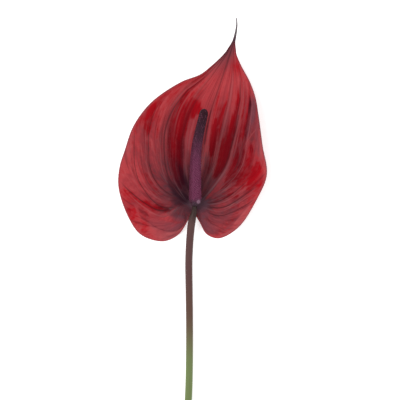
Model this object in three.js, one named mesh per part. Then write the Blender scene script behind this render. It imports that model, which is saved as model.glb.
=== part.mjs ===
// A cut anthurium stem lying on its back on a flat surface: a long stalk, a heart-shaped spathe
// with a cusp at its tip, and a spadix covered with florets.
// Millimetres, +Z up, and +Y along the stalk toward the tip of the spathe. The shapes are drawn
// from the joint where stalk, spathe and spadix meet, and the group is moved at the end, so that
// its origin is at the middle of the footprint, on the surface.
import * as THREE from "three";

// Stalk: its length below the joint, its radii, and how it rises off the surface.
const STALK_LENGTH = 400;
const STALK_TOP_RADIUS = 2.75;
const STALK_WAIST_RADIUS = 2.55; // reached at this share of the length below the joint:
const STALK_WAIST_SHARE = 0.25;
const STALK_FOOT_RADIUS = 3.2;
const STALK_LYING_LENGTH = 75; // the stretch at the cut end that lies on the surface
const STALK_RISE = 9; // height of its underside near the joint
const STALK_RISE_POWER = 1.6;
const STALK_HOOK = 1.6; // the last bend up to the joint
const STALK_HOOK_LENGTH = 10;
const STALK_SIDES = 16;
const STALK_RINGS = 36;
const STALK_RING_POWER = 0.8; // below 1, the rings stand closer near the joint
const CUT_SLANT = THREE.MathUtils.degToRad(32);

// The sideways bow of the stalk, as [distance below the joint, offset in X].
const STALK_BOW = [
  [0, 0],
  [10, -1.4],
  [23, -2.4],
  [43, -3.5],
  [68, -3.3],
  [92, -3],
  [125, -3.1],
  [150, -3.8],
  [215, -7.4],
  [300, -11.2],
  [400, -12],
];

// Spathe: a blade between a midrib and two margins, each from the joint to the tip.
const BLADE_THICKNESS = 0.9;
const LEFT_MARGIN = [
  [-0.8, -4, 9],
  [-4.8, -12.8, 5.6],
  [-12.4, -22.4, 1],
  [-24.4, -28, -1],
  [-42, -22.8, -0.4],
  [-52.4, -8.8, 4.5],
  [-60, 14.4, 9.5],
  [-57.2, 40, 13.5],
  [-48.4, 64, 16],
  [-34, 83.2, 17],
  [-10.8, 99.2, 16.5],
  [10, 108.8, 16.5],
  [24.4, 122.8, 18.5],
  [30.6, 131.2, 20.5],
];
const RIGHT_MARGIN = [
  [1.6, -4.8, 9],
  [4.8, -13.6, 5.6],
  [10.8, -22.4, 0.6],
  [20.4, -26, -1.4],
  [35.6, -16.8, 1.6],
  [50, 5.6, 10],
  [58.4, 25.6, 17],
  [55.6, 48, 22],
  [52.4, 72.8, 24],
  [45.2, 98.4, 22.5],
  [37.2, 113.6, 20.5],
  [34.4, 123.2, 19.5],
  [34, 131.2, 20.5],
];
const MIDRIB = [
  [0, 0, 9.8],
  [0.9, 5, 8.4],
  [2.8, 15, 6.5],
  [5.2, 28.8, 5.4],
  [9.2, 54.4, 5.2],
  [12.4, 70.4, 6.4],
  [16.4, 84.8, 8.4],
  [22, 100.8, 11.6],
  [28.4, 119.2, 16.4],
  [32.4, 131.2, 20.5],
];
const MIDRIB_LAG = 0.15; // how far the midrib's end of a cross-line keeps up near the joint
const MARGIN_COLUMNS = 24; // columns of facets that end along each margin
const MARGIN_COLUMN_POWER = 1.3; // above 1, they stand closer round the lobes
const TIP_COLUMNS = 4; // columns of facets on each side of the midrib that end at the tip
const ROWS = 24; // facets along each column
const ROW_POWER = 0.65; // below 1, rows stand further apart near the joint
const LOBE_DOME = 3.2; // the back lobes bulge up between joint and margin
const LOBE_SHARE = 0.3; // the share of the margin that belongs to the lobes
const CUP_DEPTH = 2.4; // past the lobes, each half sags below the chord from midrib to margin
const WAVE_HEIGHT = 0.9;
const WAVE_COUNT = 5;

// Main veins: they fan out from the joint and press shallow grooves into the upper face.
const VEINS_PER_HALF = 9;
const FAN_STRETCH = 1.43; // spreads the fan of veins toward the tip
const VEIN_DEPTH = 0.7;
const VEIN_START = 0.1; // shares of the way out where the grooves start and are full
const VEIN_FULL = 0.5;
const VEIN_FADE = 0.85; // the share of the way from midrib to margin where they start to fade

// Cusp: the rolled tail at the tip of the spathe, six-sided in section.
const CUSP_PATH = [
  [32.4, 131.2, 20.5],
  [33.8, 138, 24],
  [34.7, 144.5, 27.6],
  [34.8, 150, 31],
];
const CUSP_ROOT_WIDTH = 2.6;
const CUSP_END_WIDTH = 1.3;
const CUSP_EDGE_SHARE = 0.5; // its edges are this much thinner than its middle
const CUSP_ROWS = 9;

// Spadix: a tapering column over a short neck, covered with florets in a diamond lattice.
const JOINT_GAP = 0.3;
const SPADIX_NECK_RADIUS = 2.7;
const SPADIX_FOOT_RADIUS = 5.1;
const SPADIX_END_RADIUS = 3.3;
const SPADIX_FOOT_LENGTH = 4.5;
const SPADIX_NECK_LENGTH = 4; // its first stretch runs straight on from the stalk
const SPADIX_DOME_LENGTH = 4.5;
const SPADIX_PATH = [
  [2, 20.7, 21.4],
  [2.3, 44.5, 32.6],
  [5.2, 60.3, 39.6],
  [7.9, 71.4, 44],
  [8.6, 75.8, 45.4],
];
const FLORETS_AROUND = 13;
const FLORET_RINGS = 62;
const FLORET_RELIEF = 0.38;
const FLORETS_START = 0.05; // shares of the length where the relief is full and where it ends
const FLORETS_END = 0.97;

const vector = (point) => new THREE.Vector3(...point);
const curveThrough = (points) => new THREE.CatmullRomCurve3(points, false, "centripetal");
const { clamp, lerp, smoothstep } = THREE.MathUtils;

function closedGeometry(vertices, triangles) {
  const geometry = new THREE.BufferGeometry().setFromPoints(vertices);
  geometry.setIndex(triangles.flat());
  geometry.computeVertexNormals();
  return geometry;
}

// Closes a stack of rings, each with the same number of points, by a fan at either end.
function loft(rings, firstCentre, lastCentre, split) {
  const sides = rings[0].length;
  const vertices = [...rings.flat(), firstCentre, lastCentre];
  const first = vertices.length - 2;
  const last = vertices.length - 1;
  const triangles = [];
  const at = (ring, side) => ring * sides + (side % sides);
  for (let side = 0; side < sides; side += 1) {
    triangles.push([first, at(0, side + 1), at(0, side)]);
    for (let ring = 0; ring + 1 < rings.length; ring += 1) {
      const corners = [at(ring, side), at(ring, side + 1), at(ring + 1, side + 1), at(ring + 1, side)];
      const turned = split(ring, side);
      const [a, b, c, d] = turned ? [...corners.slice(1), corners[0]] : corners;
      triangles.push([a, b, c], [a, c, d]);
    }
    triangles.push([last, at(rings.length - 1, side), at(rings.length - 1, side + 1)]);
  }
  return closedGeometry(vertices, triangles);
}

// A ring of points about a centre, square to a direction and starting at the side of it.
function ringAbout(centre, direction, sides, radiusAt) {
  const side = new THREE.Vector3(direction.y, -direction.x, 0).normalize();
  const up = new THREE.Vector3().crossVectors(side, direction).normalize();
  return Array.from({ length: sides }, (_, k) => {
    const angle = ((k + 0.5) / sides) * 2 * Math.PI;
    return centre
      .clone()
      .addScaledVector(side, -radiusAt(k) * Math.cos(angle))
      .addScaledVector(up, radiusAt(k) * Math.sin(angle));
  });
}

// Stalk.

const bowCurve = curveThrough(STALK_BOW.map(([below, x]) => new THREE.Vector3(x, -below, 0)));

function stalkRadius(share) {
  const lyingShare = 1 - STALK_LYING_LENGTH / STALK_LENGTH;
  const toWaist = lerp(STALK_TOP_RADIUS, STALK_WAIST_RADIUS, smoothstep(share, 0, STALK_WAIST_SHARE));
  return lerp(toWaist, STALK_FOOT_RADIUS, smoothstep(share, STALK_WAIST_SHARE, lyingShare));
}

// The middle of the stalk at a share of its length below the joint.
function stalkPoint(share) {
  const point = bowCurve.getPointAt(share);
  const free = STALK_LENGTH - STALK_LYING_LENGTH;
  const climb = clamp(1 + point.y / free, 0, 1) ** STALK_RISE_POWER;
  const hook = STALK_HOOK * Math.exp(point.y / STALK_HOOK_LENGTH);
  const underside = climb > 0 ? STALK_RISE * climb + hook : 0;
  return point.setZ(underside + stalkRadius(share) * Math.cos(Math.PI / STALK_SIDES));
}

function stalkDirection(share) {
  const step = 0.002;
  const above = stalkPoint(Math.max(share - step, 0));
  const below = stalkPoint(Math.min(share + step, 1));
  return above.sub(below).normalize();
}

function buildStalk() {
  const rings = Array.from({ length: STALK_RINGS + 1 }, (_, i) => {
    const share = 1 - (i / STALK_RINGS) ** STALK_RING_POWER;
    return ringAbout(stalkPoint(share), stalkDirection(share), STALK_SIDES, () => stalkRadius(share));
  });
  const foot = stalkPoint(1);
  rings[0].forEach((point) => {
    point.y += (point.z - foot.z) * Math.tan(CUT_SLANT);
  });
  return loft(rings, foot, stalkPoint(0), () => false);
}

// Spathe.

const leftMargin = curveThrough(LEFT_MARGIN.map(vector));
const rightMargin = curveThrough(RIGHT_MARGIN.map(vector));
const midrib = curveThrough(MIDRIB.map(vector));

// Height added to the straight cross-line from midrib to margin.
function bowHeight(along, across) {
  const arch = Math.sin(Math.PI * across);
  if (along < LOBE_SHARE) {
    return LOBE_DOME * arch * Math.sin((Math.PI * along) / LOBE_SHARE);
  }
  return -CUP_DEPTH * arch * Math.sin((Math.PI * (along - LOBE_SHARE)) / (1 - LOBE_SHARE));
}

function waveHeight(along, across) {
  const envelope = across ** 3 * Math.sin(Math.PI * along);
  return WAVE_HEIGHT * envelope * Math.sin(2 * Math.PI * WAVE_COUNT * along);
}

// Depth of the grooves: nothing at the crests between two veins, and fading at joint and margin.
function veinDepth(along, across) {
  const fanAngle = Math.atan2(across, FAN_STRETCH * along);
  const groove = Math.cos(2 * VEINS_PER_HALF * fanAngle) ** 2;
  const reach = Math.max(along, across);
  const envelope = smoothstep(reach, VEIN_START, VEIN_FULL) * (1 - smoothstep(across, VEIN_FADE, 1));
  return VEIN_DEPTH * groove * envelope;
}

// A point in the middle of the blade's thickness. "along" is 0 at the notch and 1 at the tip, and
// "across" is 0 on the midrib and 1 on the margin.
function bladePoint(margin, along, across) {
  const inner = midrib.getPointAt(MIDRIB_LAG * along + (1 - MIDRIB_LAG) * along ** 2);
  const point = inner.lerp(margin.getPointAt(along), across);
  point.z += bowHeight(along, across) + waveHeight(along, across) - veinDepth(along, across);
  return point.setZ(Math.max(point.z, BLADE_THICKNESS / 2));
}

// Where the columns of one half end, as [along, across]: up the margin, then over to the midrib.
const columnEnds = [
  ...Array.from({ length: MARGIN_COLUMNS }, (_, i) => [(i / MARGIN_COLUMNS) ** MARGIN_COLUMN_POWER, 1]),
  ...Array.from({ length: TIP_COLUMNS }, (_, i) => [1, 1 - i / TIP_COLUMNS]),
];

// Columns fan out from the joint as the veins do, from the notch's left side to its right side.
function bladeColumns() {
  const column = (margin, [along, across]) =>
    Array.from({ length: ROWS }, (_, row) => {
      const reach = ((row + 1) / ROWS) ** ROW_POWER;
      return bladePoint(margin, along * reach, across * reach);
    });
  const left = columnEnds.map((end) => column(leftMargin, end));
  const right = columnEnds.map((end) => column(rightMargin, end)).reverse();
  return [...left, column(leftMargin, [1, 0]), ...right];
}

// Rows of three points, left edge, middle and right edge, along the cusp.
function cuspRows() {
  const path = curveThrough(CUSP_PATH.map(vector));
  return Array.from({ length: CUSP_ROWS }, (_, i) => {
    const share = (i + 1) / CUSP_ROWS;
    const halfWidth = lerp(CUSP_ROOT_WIDTH, CUSP_END_WIDTH, share) / 2;
    const direction = path.getTangentAt(share);
    const side = new THREE.Vector3(direction.y, -direction.x, 0).setLength(halfWidth);
    return [-1, 0, 1].map((edge) => path.getPointAt(share).addScaledVector(side, edge));
  });
}

// The two triangles of a four-sided cell, split along its shorter diagonal as seen from above.
function splitCell(points, [a, b, c, d]) {
  const length = (from, to) => Math.hypot(points[to].x - points[from].x, points[to].y - points[from].y);
  if (length(a, c) <= length(b, d)) {
    return [
      [a, b, c],
      [a, c, d],
    ];
  }
  return [
    [a, b, d],
    [b, c, d],
  ];
}

// The middle surface of the spathe: its points, the thickness at each one, and its triangles.
function spatheSheet() {
  const columns = bladeColumns();
  const cusp = cuspRows();
  const points = [bladePoint(leftMargin, 0, 0), ...columns.flat(), ...cusp.flat()];
  const at = (column, row) => 1 + column * ROWS + row;
  const triangles = [];
  for (let column = 0; column + 1 < columns.length; column += 1) {
    triangles.push([0, at(column + 1, 0), at(column, 0)]);
    for (let row = 0; row + 1 < ROWS; row += 1) {
      const cell = [at(column, row), at(column + 1, row), at(column + 1, row + 1), at(column, row + 1)];
      triangles.push(...splitCell(points, cell));
    }
  }
  const cuspStart = 1 + columns.length * ROWS;
  const middle = (columns.length - 1) / 2;
  for (let step = 0; step < TIP_COLUMNS; step += 1) {
    const left = middle - TIP_COLUMNS + step;
    const right = middle + step;
    triangles.push([cuspStart, at(left, ROWS - 1), at(left + 1, ROWS - 1)]);
    triangles.push([cuspStart + 2, at(right, ROWS - 1), at(right + 1, ROWS - 1)]);
  }
  triangles.push([cuspStart, at(middle, ROWS - 1), cuspStart + 1]);
  triangles.push([cuspStart + 1, at(middle, ROWS - 1), cuspStart + 2]);
  for (let row = 0; row + 1 < CUSP_ROWS; row += 1) {
    for (let side = 0; side < 2; side += 1) {
      const a = cuspStart + 3 * row + side;
      triangles.push(...splitCell(points, [a, a + 1, a + 4, a + 3]));
    }
  }
  const bladeThickness = points.slice(0, cuspStart).map(() => BLADE_THICKNESS);
  const cuspThickness = cusp.flatMap(([left, , right]) => {
    const width = left.distanceTo(right);
    return [width * CUSP_EDGE_SHARE, width, width * CUSP_EDGE_SHARE];
  });
  return { points, thickness: [...bladeThickness, ...cuspThickness], triangles };
}

// Upper and lower faces are split into the same triangles, and a wall joins them all round.
function buildSpathe() {
  const { points, thickness, triangles } = spatheSheet();
  const offset = (side) => points.map((p, i) => p.clone().setZ(p.z + (side * thickness[i]) / 2));
  const below = points.length;
  const lower = triangles.map(([a, b, c]) => [a + below, c + below, b + below]);
  const edges = triangles.flatMap(([a, b, c]) => [
    [a, b],
    [b, c],
    [c, a],
  ]);
  const directed = new Set(edges.map(String));
  const rim = edges.filter(([from, to]) => !directed.has(String([to, from])));
  const wall = rim.flatMap(([from, to]) => [
    [to, from, from + below],
    [to, from + below, to + below],
  ]);
  return closedGeometry([...offset(1), ...offset(-1)], [...triangles, ...lower, ...wall]);
}

// Spadix.

function spadixRadius(distance, length) {
  const foot = Math.sin((clamp(distance / SPADIX_FOOT_LENGTH, 0, 1) * Math.PI) / 2);
  const body = lerp(SPADIX_FOOT_RADIUS, SPADIX_END_RADIUS, distance / length);
  const dome = Math.sqrt(1 - clamp(1 - (length - distance) / SPADIX_DOME_LENGTH, 0, 1) ** 2);
  return lerp(SPADIX_NECK_RADIUS, body, foot) * dome;
}

// Raised and low points alternate round each ring and from ring to ring, so that each floret is
// a low pyramid on a diamond of four low points.
function buildSpadix() {
  const rise = stalkDirection(0);
  const seat = stalkPoint(0).addScaledVector(rise, JOINT_GAP);
  const neckEnd = seat.clone().addScaledVector(rise, SPADIX_NECK_LENGTH);
  const path = curveThrough([seat, neckEnd, ...SPADIX_PATH.map(vector)]);
  const length = path.getLength();
  const sides = 2 * FLORETS_AROUND;
  const rings = Array.from({ length: FLORET_RINGS }, (_, i) => {
    const share = i / FLORET_RINGS;
    const radius = spadixRadius(share * length, length);
    const ends = smoothstep(share, 0, FLORETS_START) * (1 - smoothstep(share, FLORETS_END, 1));
    const raised = (k) => (i + k) % 2 === 0;
    return ringAbout(path.getPointAt(share), path.getTangentAt(share), sides, (k) =>
      raised(k) ? radius : radius - FLORET_RELIEF * ends,
    );
  });
  const throughLowPoints = (ring, side) => (ring + side) % 2 === 0;
  return loft(rings, seat, path.getPointAt(1), throughLowPoints);
}

const stalkMaterial = new THREE.MeshStandardMaterial({ color: 0x6b5546, roughness: 0.5, metalness: 0 });
const spatheMaterial = new THREE.MeshStandardMaterial({ color: 0x9c1a24, roughness: 0.3, metalness: 0 });
const spadixMaterial = new THREE.MeshStandardMaterial({ color: 0x5c2c4c, roughness: 0.55, metalness: 0 });

function namedMesh(name, geometry, material) {
  const mesh = new THREE.Mesh(geometry, material);
  mesh.name = name;
  return mesh;
}

const flower = new THREE.Group();
flower.add(namedMesh("stalk", buildStalk(), stalkMaterial));
flower.add(namedMesh("spathe", buildSpathe(), spatheMaterial));
flower.add(namedMesh("spadix", buildSpadix(), spadixMaterial));

const box = new THREE.Box3().setFromObject(flower);
const middle = box.getCenter(new THREE.Vector3());
flower.position.set(-middle.x, -middle.y, -box.min.z);

const group = new THREE.Group();
group.add(flower);

export default group;
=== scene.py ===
import math

import bpy
import numpy as np
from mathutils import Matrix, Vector


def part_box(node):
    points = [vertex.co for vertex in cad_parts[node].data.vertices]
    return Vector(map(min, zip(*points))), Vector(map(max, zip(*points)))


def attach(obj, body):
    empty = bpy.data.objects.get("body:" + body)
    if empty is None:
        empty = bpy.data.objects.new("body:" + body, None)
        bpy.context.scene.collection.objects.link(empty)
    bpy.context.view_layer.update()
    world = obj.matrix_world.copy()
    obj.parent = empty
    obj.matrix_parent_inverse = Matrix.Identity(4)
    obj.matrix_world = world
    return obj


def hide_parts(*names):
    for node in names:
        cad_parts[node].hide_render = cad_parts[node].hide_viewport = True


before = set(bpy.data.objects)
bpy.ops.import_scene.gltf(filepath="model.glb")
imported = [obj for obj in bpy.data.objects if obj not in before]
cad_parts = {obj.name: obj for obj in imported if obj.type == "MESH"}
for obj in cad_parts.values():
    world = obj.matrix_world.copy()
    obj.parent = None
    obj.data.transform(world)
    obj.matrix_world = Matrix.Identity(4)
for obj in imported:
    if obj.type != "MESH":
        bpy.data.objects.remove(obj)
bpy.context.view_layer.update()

MM = 0.001

# Stalk.
STALK_LENGTH = 400
STALK_TOP_RADIUS = 3.05
STALK_WAIST_RADIUS = 2.85
STALK_WAIST_SHARE = 0.25
STALK_FOOT_RADIUS = 3.3
STALK_LYING_LENGTH = 75
STALK_RISE = 9
STALK_RISE_POWER = 1.6
STALK_HOOK = 1.6
STALK_HOOK_LENGTH = 10
STALK_SIDES = 40
STALK_RINGS = 220
STALK_RING_POWER = 1.15  # above 1, the rings stand closer toward the joint
STALK_PINCH = 0.6  # its radius at the very top, as a share, where it runs into the spathe
STALK_PINCH_LENGTH = 13
STALK_CAP = [(0.02, 0.02), (0.01, 0.6)]  # shares of a ring's gap above the top, and of its radius
CUT_SLANT = math.radians(32)
CUT_RIM = 0.5  # width of the rounded rim of the cut
CUT_DISH = 0.35  # how far the pith has shrunk below the rim
CUT_DISH_EDGE = (0.5, 0.75)  # shares of the cut's rings over which it sinks
CUT_PITH_EDGE = (0.4, 0.55)  # shares over which the skin's colour gives way to the pith's
CUT_SWELL = 0.2  # how far the middle of the pith swells, as a share of the rim
CUT_CENTRE = 0.02  # the innermost ring's radius, as a share
CUT_RINGS = 12
CUT_RUN = 40  # how far up the stalk its skin follows the slant
STALK_BOW = [  # distance below the joint, offset in X
    (0, 0.9),
    (5, 0.4),
    (11, -1.1),
    (23, -2.6),
    (43, -3.7),
    (68, -3.5),
    (92, -3.2),
    (125, -3.3),
    (150, -3.9),
    (215, -7.4),
    (300, -11.2),
    (400, -12),
]

# Spathe. Each half of the blade is measured along, 0 at the joint and 1 at the tip, and across, 0 on
# the midrib and 1 on the margin. Its reach is the greater of the two, and the fan is the angle that
# they make.
BLADE_THICKNESS = 0.9
LEFT_MARGIN = [
    (-0.8, -4, 9),
    (-5.5, -13.6, 5.6),
    (-12.2, -23.1, 1),
    (-24.4, -28.4, -1),
    (-42.2, -23.2, -0.4),
    (-52.4, -8.8, 4.5),
    (-60.1, 15, 9.6),
    (-59.2, 31, 12.2),
    (-55.2, 44, 14.2),
    (-47.9, 64.2, 16),
    (-33.6, 83, 17),
    (-10.4, 98.95, 16.5),
    (5.3, 105.1, 16.4),
    (13.1, 111, 16.8),
    (25.4, 122.8, 18.5),
    (30.7, 131.2, 20.5),
]
RIGHT_MARGIN = [
    (1.5, -7.4, 8),
    (5.3, -13.8, 5.6),
    (10.6, -22.8, 0.6),
    (20.4, -26, -1.4),
    (36, -17.3, 1.6),
    (50.8, 5.3, 10),
    (58.7, 25.4, 17),
    (55.2, 48, 22),
    (51.8, 72.8, 24),
    (49.6, 86, 23.6),
    (45.3, 98.4, 22.5),
    (37.4, 113.6, 20.5),
    (33.9, 123.2, 19.5),
    (33.5, 131.2, 20.5),
]
MIDRIB = [
    (0, 0, 9.8),
    (0.9, 5, 8.4),
    (2.8, 15, 6.5),
    (5.2, 28.8, 5.4),
    (9.2, 54.4, 5.2),
    (12.4, 70.4, 6.4),
    (16.4, 84.8, 8.4),
    (22, 100.8, 11.6),
    (28.4, 119.2, 16.4),
    (32.2, 131.2, 20.5),
]
MIDRIB_LAG = 0.15  # how far the midrib's end of a cross-line keeps up near the joint
LOBE_DOME = 3.2
LOBE_SHARE = 0.3
CUP_DEPTH = 2.4
WAVE_HEIGHT = 0.9
WAVE_COUNT = 5
FAN_STRETCH = 1.43  # spreads the fan of veins toward the tip
MARGIN_COLUMNS = 92  # columns of faces that end along each margin
MARGIN_COLUMN_POWER = 1.15
TIP_COLUMNS = 46  # columns on each side of the midrib that end at the tip
ROWS = 116
ROW_POWER = 0.75
SHORTEST_COLUMN = 2  # what shorter columns count as when their rows are spaced
RIM_ROWS = 5  # rows that round off the margin
CUSP_PATH = [(32.2, 131.2, 20.5), (33.7, 138, 24), (34.5, 144.5, 27.6), (34.2, 150, 31)]
CUSP_ROOT_WIDTH = 2.6
CUSP_END_WIDTH = 0.8
CUSP_TAPER_POWER = 0.8
CUSP_POINT = (0.9, 1.02)  # shares of its length over which it comes to a point
CUSP_BLEND = 0.25  # share of the cusp over which the flat blade rolls up
CUSP_ROWS = 30
CUSP_COLUMNS = 2 * TIP_COLUMNS + 1

# Veins: the angle of each in the fan at mid-blade, in degrees from the midrib and negative on the
# left half, and how far it leans to the right from there for each unit of reach.
VEINS = [
    (-79, 0),
    (-69, 0),
    (-59, 0),
    (-53.8, 16),
    (-43.2, 6),
    (-33.5, 5),
    (-30, 9),
    (-20.5, 0),
    (0.5, 5),
    (17.7, 13),
    (31, 6),
    (41.8, -6),
    (50.5, 0),
    (56.8, 0),
    (62, 1),
    (71, 0),
    (80, 0),
]
BEYOND_VEINS = 125  # a line past each edge of the fan that counts as one more
VEIN_MIDDLE = 0.65
VEIN_STRAIGHT = 25  # below the middle, veins past this angle draw together toward the joint
LEFT_PINCH = 3.8
RIGHT_PINCH = 2.7
PINCH_LIMIT = 0.4
STRAND_LEAN = 22  # how far the fine strands of the outer blade lean away from the midrib
STRAND_BLEND = 20  # degrees of the fan over which that lean comes in
VEIN_DEPTH = 0.8
VEIN_SHARPNESS = 0.7  # below 1, the grooves are creases between rounded pillows
VEIN_START = 0.22
VEIN_FULL = 0.6
VEIN_FADE = 0.85
LEAST_TURN = 0.05  # from one column to the next, in degrees
LEAST_SPAN = 0.2  # in millimetres for each degree of the fan
CUSP_SPAN = 0.03
CUSP_FAN = 35  # the fan angle at the cusp's edges
CUSP_RIM_GAP = 1.7  # how far its middle and the joint count as standing from the margin
HUB_RIM_GAP = 9
NOTCH_FAN = 90  # the fan angle at the notch's edges
NO_THICKNESS = 1e-6  # where the two faces are this near, they share their points

# Spadix.
SPADIX_NECK_RADIUS = 2.4
SPADIX_FOOT_RADIUS = 5.4
SPADIX_END_RADIUS = 3.6
SPADIX_FOOT_LENGTH = 7
SPADIX_NECK_LENGTH = 4
SPADIX_DOME_LENGTH = 4.5
SPADIX_PATH = [
    (1.4, 20.7, 21.4),
    (2.3, 44.5, 32.6),
    (5.2, 60.3, 39.6),
    (7.9, 72, 44.1),
    (8.7, 77, 45.5),
]
SPADIX_SIDES = 48
SPADIX_RINGS = 150
SPADIX_RING_POWER = 0.9
SPADIX_LEAST_RADIUS = 0.02
SPADIX_SEAT = 0.002  # the share of the stalk's length that gives its direction at the joint
FLORET_COUNT = 1080
FLORET_SIDES = 8
FLORET_LOBES = 4
FLORET_LOBE_DEPTH = 0.12  # how far they stand out, as a share of its radius
FLORET_HEIGHT = 0.42
FLORET_WIDTH = 1.62
FLORET_FIRST = 0.035  # shares of the spadix's length where the florets start and end
FLORET_LAST = 0.992
FLORET_AT_FOOT = 1.06  # its size at the foot and at the end of the spadix, as shares
FLORET_AT_END = 0.86
FLORET_SPREAD = 0.06  # how far single florets depart from that
FLORET_SEED = 7
FLORET_LENGTHWAYS = (0.0, 0.9, 0.4)  # the way that its own Y axis is turned to
FLORET_LEVELS = [  # radius and height as shares of its width and height, and the crown's colour
    (0.5, -0.5, 0),
    (0.47, 0.2, 0.25),
    (0.36, 0.72, 0.8),
    (0.2, 0.95, 1),
    (0.09, 0.72, 0.35),
]
STIGMA_CROWN = 0.9
GOLDEN_TURN = 0.381966
PALE_SPOT_CENTRE = (4.2, 3.4)  # the pale spot at its foot
PALE_SPOT_EDGE = (2.2, 0.6)  # distances from its centre where it starts and is full

# Stage. The floor, the lights and the camera's height are in metres.
FLOOR_HALF = 20
FLOOR_GLOW = 0.5
FLOOR_GRAIN = 400.0
WORLD_STRENGTH = 0.68
LIGHT_TARGET = (0, 0.1, 0)
LIGHTS = [("key", (-0.9, 1, 1.9), 0.8, 24), ("fill", (1.3, -0.9, 1.6), 1.2, 5)]
CAMERA_HEIGHT = 3
CAMERA_PLANE = 12  # the height in millimetres that is seen at its true scale
CAMERA_WIDTH = 320  # what the frame takes in at that height
CAMERA_AIM = (5.2, 4.8)
CAMERA_REACH = 100
SENSOR_WIDTH = 36


# Curves and surfaces in numbers.


def lerp(start, end, share):
    return start + (end - start) * share


def smooth(value, start, full):
    share = np.clip((value - start) / (full - start), 0, 1)
    return share * share * (3 - 2 * share)


class Path:
    """A smooth curve through points, read by its share of length."""

    STEPS = 60  # from one point to the next
    NEARBY = 0.002  # shares of its length to the two points that a direction is read from

    def __init__(self, points):
        points = np.array(points, float)
        before = 2 * points[0] - points[1]
        after = 2 * points[-1] - points[-2]
        padded = np.vstack([before, points, after])
        runs = [self.run(padded[i : i + 4]) for i in range(len(points) - 1)]
        self.samples = np.vstack([*runs, points[-1:]])
        steps = np.linalg.norm(np.diff(self.samples, axis=0), axis=1)
        self.length = steps.sum()
        self.shares = np.concatenate([[0], np.cumsum(steps)]) / self.length

    def run(self, four):
        """Centripetal Catmull-Rom samples from the second of four points up to the third."""
        gaps = np.linalg.norm(np.diff(four, axis=0), axis=1) ** 0.5
        knots = np.concatenate([[0], np.cumsum(gaps)])
        at = np.linspace(knots[1], knots[2], self.STEPS, endpoint=False)[:, None]

        def between(i, j, first, second):
            return lerp(first, second, (at - knots[i]) / (knots[j] - knots[i]))

        a, b, c = (between(i, i + 1, four[i], four[i + 1]) for i in range(3))
        return between(1, 2, between(0, 2, a, b), between(1, 3, b, c))

    def at(self, share):
        return np.stack([np.interp(share, self.shares, axis) for axis in self.samples.T], axis=-1)

    def direction(self, share):
        ahead = self.at(np.minimum(share + self.NEARBY, 1))
        run = ahead - self.at(np.maximum(share - self.NEARBY, 0))
        return run / np.linalg.norm(run, axis=-1, keepdims=True)


left_margin = Path(LEFT_MARGIN)
right_margin = Path(RIGHT_MARGIN)
midrib = Path(MIDRIB)

# The joint's place in the frame, in millimetres, from the left and upper sides of the spathe's box.
spathe_low, spathe_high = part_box("spathe")
joint_x = spathe_low.x / MM - left_margin.samples[:, 0].min()
joint_y = spathe_high.y / MM - CUSP_PATH[-1][1]
JOINT = np.array([joint_x, joint_y, 0])


def to_frame(points):
    """Millimetres from the joint to metres in the frame."""
    return (np.asarray(points) + JOINT) * MM


def cells(grid):
    """The four corners of each cell of a grid of point numbers or of places."""
    return np.stack([grid[:-1, :-1], grid[:-1, 1:], grid[1:, 1:], grid[1:, :-1]], axis=2)


def fan_faces(centre, ring):
    """Triangles from one point to each side of a line of points."""
    ring = ring.tolist()
    return [[centre, first, after] for first, after in zip(ring, ring[1:])]


def level_side(direction):
    """The level way to the right of each direction."""
    side = np.stack([direction[:, 1], -direction[:, 0], np.zeros(len(direction))], axis=1)
    return side / np.linalg.norm(side, axis=1, keepdims=True)


def new_mesh(name, points, faces, **fields):
    """A smooth mesh with one named float attribute on its points for each field."""
    mesh = bpy.data.meshes.new(name)
    mesh.from_pydata(to_frame(points).tolist(), [], faces)
    for field, values in fields.items():
        attribute = mesh.attributes.new(field, "FLOAT", "POINT")
        attribute.data.foreach_set("value", np.asarray(values, np.float32).ravel())
    mesh.shade_smooth()
    mesh.validate()
    return mesh


def new_object(name, data):
    item = bpy.data.objects.new(name, data)
    bpy.context.scene.collection.objects.link(item)
    return item


def colour(red, green, blue):
    """Linear colour from red, green and blue steps of 255 on the sRGB curve."""
    steps = np.array([red, green, blue]) / 255
    linear = np.where(steps <= 0.04045, steps / 12.92, ((steps + 0.055) / 1.055) ** 2.4)
    return (*linear.tolist(), 1)


# Node graphs.


class Field:
    """One output of a node. Sums on fields add Math nodes to the tree."""

    def __init__(self, graph, socket):
        self.graph = graph
        self.socket = socket

    def __add__(self, other):
        return self.graph.math("ADD", self, other)

    __radd__ = __add__

    def __mul__(self, other):
        return self.graph.math("MULTIPLY", self, other)

    __rmul__ = __mul__

    def __sub__(self, other):
        return self.graph.math("SUBTRACT", self, other)

    def __rsub__(self, other):
        return self.graph.math("SUBTRACT", other, self)

    def __truediv__(self, other):
        return self.graph.math("DIVIDE", self, other)

    def __pow__(self, other):
        return self.graph.math("POWER", self, other)

    def __abs__(self):
        return self.graph.math("ABSOLUTE", self)


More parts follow.
